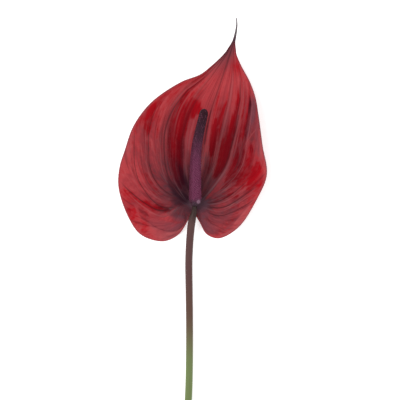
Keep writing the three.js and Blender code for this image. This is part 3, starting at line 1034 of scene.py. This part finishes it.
class SpathePaint(Material):
    """The spathe's material, with the fields and the noises round 0 that its colours share."""

    def __init__(self):
        super().__init__("waxy_red_spathe")
        self.flow = self.attribute("flow")
        self.strand = self.attribute("strand")
        self.reach = self.attribute("reach")
        self.along = self.attribute("along")
        self.span = self.attribute("span")
        self.tone = self.attribute("tone")
        self.back = self.attribute("back")
        place = self.place()
        self.bands = self.drawn_out(self.strand / BAND_WIDTH, cells_out=2.5, layer=3.0)
        self.streaks = self.drawn_out(
            self.strand / STREAK_WIDTH, cells_out=6, layer=self.back * 5, detail=3.0, roughness=0.6
        )
        self.threads = self.drawn_out(self.flow * THREADS_A_DEGREE, cells_out=4, layer=9.0)
        self.blotches = self.noise(place, scale=0.2, detail=4.0, roughness=0.6) - 0.5
        self.mottle = self.noise(place, scale=0.35, detail=3.0, roughness=0.6) - 0.5
        self.grain = self.noise(place, scale=1.3, detail=3.0) - 0.5
        self.ragged = self.streaks * 1.5 + self.threads * 0.7 + self.blotches * 0.6 + self.mottle * 0.6

    def drawn_out(self, across, cells_out, layer, detail=2.0, roughness=0.5):
        """Noise round 0 that runs with the strands, so many cells long from the joint outwards."""
        vector = self.vector(across, self.reach * cells_out, layer)
        return self.noise(vector, 1.0, detail, roughness) - 0.5

    def vein_mask(self, veins, spread=1.0):
        """The strongest of the given veins at each point of the blade."""
        mask = 0.0
        for angle, lean, start, end, width, strength in veins:
            gap = abs(self.flow - angle - (self.reach - VEIN_MIDDLE) * lean) * self.span
            starting = self.smooth(self.reach, start - VEIN_IN, start + VEIN_IN)
            ending = self.smooth(self.reach, end + VEIN_OUT, end - VEIN_OUT)
            vein = self.smooth(gap, VEIN_EDGE * width * spread, VEIN_CORE * width)
            mask = self.math("MAXIMUM", vein * (starting * ending) * strength, mask)
        return mask

    def clear_share(self):
        """How clear the red is of the painted sheen, with ragged edges and long flecks."""
        fleck = self.drawn_out(self.strand / FLECK_WIDTH, cells_out=16, layer=15.0)
        flecks = self.smooth(fleck, *FLECK_EDGE) - self.smooth(fleck * -1, *FLECK_EDGE)
        return self.smooth(self.attribute("clear_red") + self.ragged + flecks * FLECK_SHIFT, *CLEAR_EDGE)

    def shade_share(self):
        """How far the shade of the throat and of the folds covers the blade."""
        throat = self.smooth(self.oval(*THROAT), *THROAT_EDGE)
        shade = self.attribute("shade") + throat * THROAT_SHIFT + self.ragged * RAGGED_SHIFT
        return self.smooth(shade, *SHADE_EDGE)

    def bare_red(self, clear):
        """The upper face without its shade and veins, with its painted sheen. Tone and noises shift its
        colours in or out.
        """
        ruby_reach = self.reach + self.tone * 0.15 + self.bands * 0.3 + self.threads * 0.3
        # Painted sheen: away from the clear red, the paler red that reflected soft light gives.
        sheened_reach = self.reach + self.tone * 0.3 + self.bands * 0.4 + self.streaks * 0.5 + self.mottle * 0.3
        red = self.mix(clear, self.ramp(sheened_reach, SHEENED_RED), self.ramp(ruby_reach, RUBY))
        red = self.mix(self.smooth(self.threads, *THREAD_EDGE) * THREAD_COVER, red, THREAD)
        # Pink lines of painted sheen, only where the red is not clear.
        lines = self.smooth(self.streaks - self.threads, *LINE_EDGE) * self.smooth(self.reach, *LINE_REACH)
        red = self.mix(lines * (1 - clear) * LINE_COVER, red, PINK_SHEEN_LINE)
        # Pale painted sheen laid over the red.
        pale_sheen_red = self.ramp(self.reach + self.tone * 0.2, PALE_SHEEN_RED)
        return self.mix(self.attribute("thick_wax"), red, pale_sheen_red)

    def with_edges(self, red):
        """Turns the red to grey along both margins at the tip, over the cusp and along the rim."""
        left_tip = self.smooth(self.along, *LEFT_TIP) * self.smooth(self.flow, *LEFT_TIP_FAN)
        right_tip = self.smooth(self.along, *RIGHT_TIP) * self.smooth(self.flow, *RIGHT_TIP_FAN)
        red = self.mix(self.math("MAXIMUM", left_tip, right_tip) * TIP_COVER, red, GREY_TIP)
        red = self.coats(red, self.along, CUSP_COATS)
        rim = self.smooth(self.attribute("rim_gap"), *RIM_EDGE)
        rim_cover = self.smooth(self.along, *RIM_ALONG) * RIM_COVER + RIM_COVER
        return self.mix(rim * rim_cover, red, GREY_RIM)


def spathe_material():
    paint = SpathePaint()
    clear = paint.clear_share()
    shade = paint.shade_share()
    pale = paint.vein_mask(PALE_SHEEN_VEINS)
    dark = paint.vein_mask(DARK_VEINS)
    # Painted shade in the valleys round the dark veins.
    valleys = paint.vein_mask(DARK_VEINS, VALLEY_SHADE_SPREAD)
    joint_grey = paint.smooth(paint.oval(*JOINT_GREY) + paint.streaks * 2, *JOINT_GREY_EDGE)
    red = paint.mix(shade * SHADE_COVER, paint.bare_red(clear), DARK_PLUM)
    # Painted sheen along the pale veins.
    red = paint.mix(pale * PALE_VEIN_SHEEN_COVER, red, paint.ramp(paint.reach, PALE_VEIN_SHEEN))
    # Dark veins, with painted shade in the valleys round them.
    red = paint.mix(dark * DARK_VEIN_COVER + valleys * VALLEY_SHADE_COVER, red, DARK_VEIN)
    red = paint.mix(joint_grey * JOINT_GREY_COVER, red, JOINT_GREY_TONE)
    red = paint.with_edges(red)
    underside = paint.ramp(paint.reach, UNDERSIDE)
    underside = paint.mix(dark * UNDERSIDE_VEIN_COVER, underside, UNDERSIDE_VEIN)
    coat = paint.blend(clear, WAX_COAT, BARE_COAT) * paint.smooth(paint.reach, *WAX_REACH)
    return paint.surface(
        Base_Color=paint.mix(paint.back, red, underside),
        Roughness=0.42 + paint.grain * 0.12,
        Specular_IOR_Level=0.02,
        Coat_Weight=coat * (1 - shade * SHADE_DULLING),
        Coat_Roughness=0.3,
        Normal=paint.bump((paint.streaks + paint.grain) * 0.5, distance=0.12, strength=0.6),
    )


def build_spathe():
    mesh = build_spathe_mesh()
    mesh.materials.append(spathe_material())
    return new_object("spathe_skin", mesh)


# Stalk.


def stalk_radius(share):
    lying_share = 1 - STALK_LYING_LENGTH / STALK_LENGTH
    to_waist = lerp(STALK_TOP_RADIUS, STALK_WAIST_RADIUS, smooth(share, 0, STALK_WAIST_SHARE))
    return lerp(to_waist, STALK_FOOT_RADIUS, smooth(share, STALK_WAIST_SHARE, lying_share))


stalk_bow = Path([(x, -below, 0) for below, x in STALK_BOW])


def stalk_point(share):
    """The middle of the stalk at shares of its length below the joint."""
    point = stalk_bow.at(share)
    free = STALK_LENGTH - STALK_LYING_LENGTH
    climb = np.clip(1 + point[..., 1] / free, 0, 1) ** STALK_RISE_POWER
    hook = STALK_HOOK * np.exp(point[..., 1] / STALK_HOOK_LENGTH)
    underside = np.where(climb > 0, STALK_RISE * climb + hook, 0)
    point[..., 2] = underside + stalk_radius(share)
    return point


def stalk_line():
    """Points down the stalk and their radii, drawn in at both ends, and how many make the cut."""
    share = (np.arange(STALK_RINGS + 1) / STALK_RINGS) ** STALK_RING_POWER
    centre = stalk_point(share)
    below = share * STALK_LENGTH
    pinch = lerp(STALK_PINCH, 1, smooth(below, 0, STALK_PINCH_LENGTH))
    radius = stalk_radius(share) * pinch
    turn = np.linspace(0, math.pi / 2, CUT_RINGS)[1:]
    rim = CUT_RIM * np.sin(turn)
    foot_direction = centre[-1] - centre[-2]
    foot_direction /= np.linalg.norm(foot_direction)
    rim_radius = radius[-1] - CUT_RIM * (1 - np.cos(turn))
    inner = np.linspace(1, CUT_CENTRE, CUT_RINGS)[1:]
    inner_radius = rim_radius[-1] * inner
    face = CUT_RIM * (1 + CUT_SWELL * (1 - inner))
    out = np.concatenate([rim, face])
    cut = centre[-1] + foot_direction * out[:, None]
    cap_gap, cap_radius = np.array(STALK_CAP).T
    top = centre[0] - (centre[1] - centre[0]) * cap_gap[:, None]
    points = np.concatenate([top, centre, cut])
    radii = np.concatenate([radius[0] * cap_radius, radius, rim_radius, inner_radius])
    return points, radii, len(out)


def new_tree(name, **inputs):
    """A geometry tree with a geometry input, named inputs and a geometry output."""
    tree = bpy.data.node_groups.new(name, "GeometryNodeTree")
    tree.interface.new_socket("Geometry", in_out="OUTPUT", socket_type="NodeSocketGeometry")
    tree.interface.new_socket("Geometry", in_out="INPUT", socket_type="NodeSocketGeometry")
    for label, kind in inputs.items():
        tree.interface.new_socket(label, in_out="INPUT", socket_type="NodeSocket" + kind)
    graph = Graph(tree)
    group = tree.nodes.new("NodeGroupInput")
    return graph, {socket.name: Field(graph, socket) for socket in group.outputs if socket.name}


def finish_tree(graph, geometry, material):
    """Ends a tree in Realize Instances and Set Material."""
    real = graph.node("GeometryNodeRealizeInstances", Geometry=geometry)
    dressed = graph.node("GeometryNodeSetMaterial", Geometry=real, Material=material)
    output = graph.tree.nodes.new("NodeGroupOutput")
    graph.fill(output.inputs[0], dressed)


def run_tree(carrier, graph, name, **values):
    """Evaluates a tree on an object and returns the result as a plain mesh."""
    modifier = carrier.modifiers.new(graph.tree.name, "NODES")
    modifier.node_group = graph.tree
    for item in graph.tree.interface.items_tree:
        if item.in_out == "INPUT" and item.name in values:
            modifier[item.identifier] = values[item.name]
    evaluated = carrier.evaluated_get(bpy.context.evaluated_depsgraph_get())
    mesh = bpy.data.meshes.new_from_object(evaluated)
    mesh.name = name
    carrier.modifiers.remove(modifier)
    return mesh


def named(graph, name, kind="FLOAT"):
    return graph.node("GeometryNodeInputNamedAttribute", {"data_type": kind}, Name=name)


def store(graph, geometry, name, value):
    settings = {"data_type": "FLOAT", "domain": "POINT"}
    return graph.node(
        "GeometryNodeStoreNamedAttribute", settings, Geometry=geometry, Name=name, Value=value
    )


def stalk_tree():
    """A tube along a curve, with its foot slanted, that knows its length and its way round."""
    graph, given = new_tree(
        "stalk_tube",
        Sides="Int",
        Points="Int",
        Cut_points="Int",
        Slant="Float",
        Dish="Float",
        Skin="Material",
    )
    length = graph.node("GeometryNodeSplineParameter", output="Length")
    line = store(graph, given["Geometry"], "below", length / MM)
    index = graph.node("GeometryNodeInputIndex")
    line = store(graph, line, "cut", 1 - (given["Points"] - index) / given["Cut_points"])
    ring = graph.node("GeometryNodeCurvePrimitiveCircle", Resolution=given["Sides"], Radius=1.0)
    turn = graph.node("GeometryNodeSplineParameter", output="Factor")
    ring = store(graph, ring, "turn", turn)
    radius = graph.node("GeometryNodeInputRadius")
    tube = graph.node(
        "GeometryNodeCurveToMesh", Curve=line, Profile_Curve=ring, Scale=radius, Fill_Caps=True
    )
    here = graph.node("GeometryNodeInputPosition")
    lift = graph.parts(here)[2] * graph.math("TANGENT", given["Slant"])
    at_foot = graph.smooth(named(graph, "below"), STALK_LENGTH - CUT_RUN, STALK_LENGTH)
    on_face = graph.smooth(named(graph, "cut"), *CUT_DISH_EDGE)
    offset = graph.vector(0.0, lift * at_foot + given["Dish"] * on_face)
    slanted = graph.node("GeometryNodeSetPosition", Geometry=tube, Offset=offset)
    smooth_tube = graph.node("GeometryNodeSetShadeSmooth", Geometry=slanted)
    finish_tree(graph, smooth_tube, given["Skin"])
    return graph


def build_stalk():
    points, radii, cut_points = stalk_line()
    line = bpy.data.curves.new("stalk_line", "CURVE")
    line.dimensions = "3D"
    spline = line.splines.new("POLY")
    spline.points.add(len(points) - 1)
    for spot, place, radius in zip(spline.points, to_frame(points), radii):
        spot.co = (*place, 1)
        spot.radius = radius * MM
    carrier = new_object("stalk_line", line)
    mesh = run_tree(
        carrier,
        stalk_tree(),
        "stalk_skin",
        Sides=STALK_SIDES,
        Points=len(points),
        Cut_points=cut_points,
        Slant=CUT_SLANT,
        Dish=CUT_DISH * MM,
        Skin=stalk_material(),
    )
    bpy.data.objects.remove(carrier)
    return new_object("stalk_skin", mesh)


# Colours of the stalk, each from one distance below the joint to another.
STALK_TOP = colour(40, 28, 27)
STALK_TOP_COATS = [(-2, 5, colour(56, 38, 36)), (6, 16, colour(89, 60, 59))]
STALK_COATS = [
    (52, 88, colour(94, 68, 58)),
    (84, 112, colour(106, 98, 72)),
    (100, 132, colour(112, 128, 80)),
]
STALK_STREAK = colour(72, 56, 50)
STALK_STREAK_EDGE = (0.5, 0.8)
STALK_STREAK_COVER = 0.35
STALK_FLECK = colour(132, 122, 100)
STALK_FLECK_EDGE = (0.55, 0.8)
STALK_FLECK_COVER = 0.25
STALK_TOP_RAGGED = 6  # how far the borders of its colours stray, near the joint and farther down
STALK_RAGGED = 26
STALK_GRAIN_ROUND = 3  # how fine the grain is round the stalk, and for each millimetre down it
STALK_STREAK_GRAIN = 0.02
STALK_FLECK_GRAIN = 0.08
PITH = colour(176, 180, 134)
PITH_BUNDLE = colour(118, 126, 78)
PITH_BUNDLE_EDGE = (0.55, 0.66)
PITH_BUNDLE_COVER = 0.6


def pith_colour(paint):
    """The pale cut face with the ends of its bundles of fibres."""
    bundles = paint.smooth(paint.noise(paint.place(), scale=1.8, detail=1.0), *PITH_BUNDLE_EDGE)
    return paint.mix(bundles * PITH_BUNDLE_COVER, PITH, PITH_BUNDLE)


def stalk_material():
    paint = Material("smooth_green_to_plum_stalk")
    below = paint.attribute("below")
    turn = paint.attribute("turn") * (2 * math.pi)
    round_x = paint.math("COSINE", turn) * STALK_GRAIN_ROUND
    round_y = paint.math("SINE", turn) * STALK_GRAIN_ROUND
    long_cells = paint.vector(round_x, round_y, below * STALK_STREAK_GRAIN)
    short_cells = paint.vector(round_x, round_y, below * STALK_FLECK_GRAIN)
    streaks = paint.noise(long_cells, scale=2.2, detail=3.0, roughness=0.6)
    fine = paint.noise(short_cells, scale=7.0)
    skin = paint.coats(STALK_TOP, below + (streaks - 0.5) * STALK_TOP_RAGGED, STALK_TOP_COATS)
    skin = paint.coats(skin, below + (streaks - 0.5) * STALK_RAGGED, STALK_COATS)
    skin = paint.mix(paint.smooth(streaks, *STALK_STREAK_EDGE) * STALK_STREAK_COVER, skin, STALK_STREAK)
    skin = paint.mix(paint.smooth(fine, *STALK_FLECK_EDGE) * STALK_FLECK_COVER, skin, STALK_FLECK)
    on_cut = paint.smooth(paint.attribute("cut"), *CUT_PITH_EDGE)
    return paint.surface(
        Base_Color=paint.mix(on_cut, skin, pith_colour(paint)),
        Roughness=0.4 + (streaks - 0.5) * 0.2,
        Specular_IOR_Level=0.15,
        Coat_Weight=0.05,
        Coat_Roughness=0.3,
        Normal=paint.bump(fine * 0.6 + streaks * 0.4, distance=0.08, strength=0.5),
    )


# Spadix.


def spadix_radius(distance, length):
    foot = np.sin(np.clip(distance / SPADIX_FOOT_LENGTH, 0, 1) * math.pi / 2)
    body = lerp(SPADIX_FOOT_RADIUS, SPADIX_END_RADIUS, distance / length)
    dome = np.sqrt(1 - np.clip(1 - (length - distance) / SPADIX_DOME_LENGTH, 0, 1) ** 2)
    return lerp(SPADIX_NECK_RADIUS, body, foot) * dome


def spadix_line():
    seat = stalk_point(0.0)
    rise = seat - stalk_point(SPADIX_SEAT)
    rise /= np.linalg.norm(rise)
    return Path([seat, seat + rise * SPADIX_NECK_LENGTH, *SPADIX_PATH])


def column_grid(line, share):
    """Rings of points round the spadix's line, inside its florets."""
    direction = line.direction(share)
    radius = spadix_radius(share * line.length, line.length) - FLORET_HEIGHT
    radius = np.maximum(radius, SPADIX_LEAST_RADIUS)
    side = level_side(direction)
    up = np.cross(side, direction)
    angle = 2 * math.pi * np.arange(SPADIX_SIDES) / SPADIX_SIDES
    ring = -side[:, None] * np.cos(angle)[None, :, None] + up[:, None] * np.sin(angle)[None, :, None]
    return line.at(share)[:, None] + ring * radius[:, None, None]


def build_column_mesh():
    """The core of the spadix, with a UV map of the turn round it and the share of its length."""
    line = spadix_line()
    share = np.sin(np.linspace(0, math.pi / 2, SPADIX_RINGS + 1)) ** SPADIX_RING_POWER
    turn = np.arange(SPADIX_SIDES + 1) / SPADIX_SIDES
    points = column_grid(line, share).reshape(-1, 3)
    number = np.arange(len(points)).reshape(-1, SPADIX_SIDES).T
    number = np.vstack([number, number[:1]])
    faces = cells(number).reshape(-1, 4).tolist()
    faces += fan_faces(len(points), number[:, 0])
    faces += fan_faces(len(points) + 1, number[::-1, -1])
    side_corners = cells(np.stack(np.meshgrid(turn, share, indexing="ij"), axis=-1)).reshape(-1, 2)
    end_corners = np.repeat([[0, 0], [0, 1]], 3 * SPADIX_SIDES, axis=0)
    mesh = new_mesh("spadix_column", np.vstack([points, line.at(share[[0, -1]])]), faces)
    column_map = mesh.uv_layers.new(name="column")
    column_map.data.foreach_set("uv", np.vstack([side_corners, end_corners]).astype(np.float32).ravel())
    return mesh


def build_floret_mesh():
    """One closed bud: four blunt lobes round a small dimple with the stigma in it."""
    turn = 2 * math.pi * np.arange(FLORET_SIDES) / FLORET_SIDES
    outline = FLORET_WIDTH * (1 + FLORET_LOBE_DEPTH * np.cos(FLORET_LOBES * turn))
    radius, height, crown = np.array(FLORET_LEVELS).T[:, :, None]
    x = radius * outline * np.cos(turn)
    y = radius * outline * np.sin(turn)
    z = np.broadcast_to(FLORET_HEIGHT * height, x.shape)
    points = np.vstack([np.stack([x, y, z], axis=-1).reshape(-1, 3), [0, 0, FLORET_HEIGHT]])
    number = np.arange(x.size).reshape(x.shape)
    wrapped = np.hstack([number, number[:, :1]])
    faces = cells(wrapped).reshape(-1, 4).tolist()
    faces += fan_faces(x.size, wrapped[-1])
    faces.append(number[0, ::-1].tolist())
    mesh = bpy.data.meshes.new("floret")
    mesh.from_pydata((points * MM).tolist(), [], faces)
    crown = np.append(np.broadcast_to(crown, x.shape), STIGMA_CROWN)
    mesh.attributes.new("crown", "FLOAT", "POINT").data.foreach_set("value", crown)
    mesh.shade_smooth()
    return mesh


def even_share(graph, given):
    """The share of the column's length for each floret, so that all have as much surface."""
    share = (graph.node("GeometryNodeInputIndex") + 0.5) / given["Count"]
    foot = given["Foot_radius"]
    taper = foot - given["End_radius"]
    covered = share * (foot + given["End_radius"]) / 2
    return (foot - graph.math("SQRT", foot * foot - 2 * (taper * covered))) / taper


def on_column(graph, column, where, value):
    """A vector of the column's surface, by the turn round it and the share of its length."""
    return graph.node(
        "GeometryNodeSampleUVSurface",
        {"data_type": "FLOAT_VECTOR"},
        Mesh=column,
        Value=value,
        Source_UV_Map=named(graph, "column", "FLOAT_VECTOR"),
        Sample_UV=where,
    )


def turned(graph, axis, pivot, **inputs):
    """A turn that brings an axis to a direction."""
    settings = {"axis": axis, "pivot_axis": pivot}
    return graph.node("FunctionNodeAlignRotationToVector", settings, **inputs)


def floret_tree():
    """Florets in a golden spiral over the column, each as wide as its share of the surface."""
    graph, given = new_tree(
        "spadix_florets",
        Floret="Object",
        Count="Int",
        Foot_radius="Float",
        End_radius="Float",
        First="Float",
        Last="Float",
        Seed="Int",
        Skin="Material",
    )
    column = given["Geometry"]
    along = even_share(graph, given)
    turn = graph.math("FRACT", graph.node("GeometryNodeInputIndex") * GOLDEN_TURN)
    where = graph.vector(turn, graph.blend(along, given["First"], given["Last"]))
    place = on_column(graph, column, where, graph.node("GeometryNodeInputPosition"))
    points = graph.node("GeometryNodePoints", Count=given["Count"])
    points = graph.node("GeometryNodeSetPosition", Geometry=points, Position=place)
    outward = on_column(graph, column, where, graph.node("GeometryNodeInputNormal"))
    upright = turned(graph, "Z", "AUTO", Vector=outward)
    lengthways = turned(graph, "Y", "Z", Rotation=upright, Vector=FLORET_LENGTHWAYS)
    random = {"data_type": "FLOAT"}
    tint = graph.node("FunctionNodeRandomValue", random, "Value_001", Seed=given["Seed"])
    points = store(graph, points, "tint", tint)
    size = graph.blend(along, FLORET_AT_FOOT, FLORET_AT_END)
    size = size * graph.blend(tint, 1 - FLORET_SPREAD, 1 + FLORET_SPREAD)
    own_place = {"transform_space": "ORIGINAL"}
    floret = graph.node("GeometryNodeObjectInfo", own_place, "Geometry", Object=given["Floret"])
    buds = graph.node(
        "GeometryNodeInstanceOnPoints", Points=points, Instance=floret, Rotation=lengthways, Scale=size
    )
    joined = graph.node("GeometryNodeJoinGeometry", Geometry=buds)
    graph.fill(joined.socket.node.inputs[0], column)
    finish_tree(graph, joined, given["Skin"])
    return graph


def build_spadix():
    column = new_object("spadix_column", build_column_mesh())
    floret = new_object("floret", build_floret_mesh())
    mesh = run_tree(
        column,
        floret_tree(),
        "spadix_skin",
        Floret=floret,
        Count=FLORET_COUNT,
        Foot_radius=float(SPADIX_FOOT_RADIUS),
        End_radius=float(SPADIX_END_RADIUS),
        First=FLORET_FIRST,
        Last=FLORET_LAST,
        Seed=FLORET_SEED,
        Skin=spadix_material(),
    )
    for helper in (column, floret):
        bpy.data.objects.remove(helper)
    return new_object("spadix_skin", mesh)


# Colours of the spadix, each from one share of its length to another.
SPADIX_BASE = colour(46, 29, 33)
SPADIX_COATS = [
    (-0.02, 0.03, colour(84, 54, 72)),
    (0.03, 0.1, colour(136, 60, 96)),
    (0.42, 0.78, colour(66, 32, 48)),
    (0.76, 0.96, colour(51, 9, 19)),
]
SPADIX_RAGGED = 0.12
# Painted shade in the gaps between florets, away from their crowns.
FLORET_GAP_SHADE = colour(46, 18, 36)
FLORET_GAP_SHADE_COVER = 0.4
FLORET_LIGHT = colour(132, 72, 100)
FLORET_LIGHT_EDGE = (0.5, 1)
FLORET_LIGHT_COVER = 0.2
# Painted shade down the spadix's left flank.
LEFT_FLANK_SHADE = colour(66, 10, 30)
LEFT_FLANK_SHADE_EDGE = (1.5, 3.5)
LEFT_FLANK_SHADE_COVER = 0.4
AXIS_FOOT = 1.2  # the X of the spadix's axis at its foot, and how far it has bent by its end
AXIS_BEND = 7.5
PALE_SPOT = colour(160, 122, 144)
PALE_SPOT_COVER = 0.8


def spadix_material():
    paint = Material("purple_floret_spadix")
    place = paint.place()
    x, y, _ = paint.parts(place)
    along = y / SPADIX_PATH[-1][1]
    tint = paint.attribute("tint")
    blotches = paint.noise(place, scale=0.25, detail=3.0) - 0.5
    skin = paint.coats(SPADIX_BASE, along + blotches * SPADIX_RAGGED, SPADIX_COATS)
    # Painted shade in the gaps between the florets.
    skin = paint.mix((1 - paint.attribute("crown")) * FLORET_GAP_SHADE_COVER, skin, FLORET_GAP_SHADE)
    skin = paint.mix(paint.smooth(tint, *FLORET_LIGHT_EDGE) * FLORET_LIGHT_COVER, skin, FLORET_LIGHT)
    # Painted shade on the spadix's left flank.
    left_of_axis = along**3 * AXIS_BEND + AXIS_FOOT - x
    skin = paint.mix(paint.smooth(left_of_axis, *LEFT_FLANK_SHADE_EDGE) * LEFT_FLANK_SHADE_COVER, skin, LEFT_FLANK_SHADE)
    pale_spot = paint.smooth(paint.oval(PALE_SPOT_CENTRE, (1, 1)) ** 0.5, *PALE_SPOT_EDGE)
    skin = paint.mix(pale_spot * PALE_SPOT_COVER, skin, PALE_SPOT)
    return paint.surface(
        Base_Color=skin,
        Roughness=0.5 + (tint - 0.5) * 0.1,
        Specular_IOR_Level=0.15,
        Normal=paint.bump(paint.noise(place, scale=3.0), distance=0.05, strength=0.5),
    )


# Stage.

FLOOR_WHITE = colour(250, 250, 250)
FLOOR_GREY = colour(236, 236, 236)
FLOOR_GREY_COVER = 0.03


def floor_material():
    paint = Material("pale_floor")
    grain = paint.noise(paint.node("ShaderNodeTexCoord", output="Object"), FLOOR_GRAIN)
    return paint.surface(
        Base_Color=paint.mix(grain * FLOOR_GREY_COVER, FLOOR_WHITE, FLOOR_GREY),
        Roughness=0.9,
        Specular_IOR_Level=0.0,
        Emission_Color=FLOOR_WHITE,
        Emission_Strength=FLOOR_GLOW,
    )


def build_floor():
    corners = [(x * FLOOR_HALF, y * FLOOR_HALF, 0) for x, y in ((-1, -1), (1, -1), (1, 1), (-1, 1))]
    mesh = bpy.data.meshes.new("floor")
    mesh.from_pydata(corners, [], [[0, 1, 2, 3]])
    mesh.materials.append(floor_material())
    new_object("floor", mesh)


def aim(item, place, target):
    item.location = place
    item.rotation_euler = (Vector(target) - Vector(place)).to_track_quat("-Z", "Y").to_euler()


def soft_light(name, place, size, power):
    data = bpy.data.lights.new(name, "AREA")
    data.shape = "SQUARE"
    data.size = size
    data.energy = power
    light = new_object(name, data)
    light.visible_camera = False
    aim(light, place, LIGHT_TARGET)


def light_stage():
    world = bpy.data.worlds.new("studio")
    bpy.context.scene.world = world
    world.use_nodes = True
    background = world.node_tree.nodes["Background"]
    background.inputs["Color"].default_value = (1, 1, 1, 1)
    background.inputs["Strength"].default_value = WORLD_STRENGTH
    for name, place, size, power in LIGHTS:
        soft_light(name, place, size, power)
    bpy.context.scene.view_settings.view_transform = "Standard"


def build_camera():
    data = bpy.data.cameras.new("camera")
    data.sensor_width = SENSOR_WIDTH
    data.lens = SENSOR_WIDTH * CAMERA_HEIGHT / (CAMERA_WIDTH * MM)
    data.clip_end = CAMERA_REACH
    camera = new_object("camera", data)
    place = to_frame([*CAMERA_AIM, CAMERA_PLANE])
    camera.location = (place[0], place[1], place[2] + CAMERA_HEIGHT)
    bpy.context.scene.camera = camera


def dress(piece, node):
    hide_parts(node)
    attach(piece, "root")


build_camera()
build_floor()
light_stage()
dress(build_stalk(), "stalk")
dress(build_spathe(), "spathe")
dress(build_spadix(), "spadix")
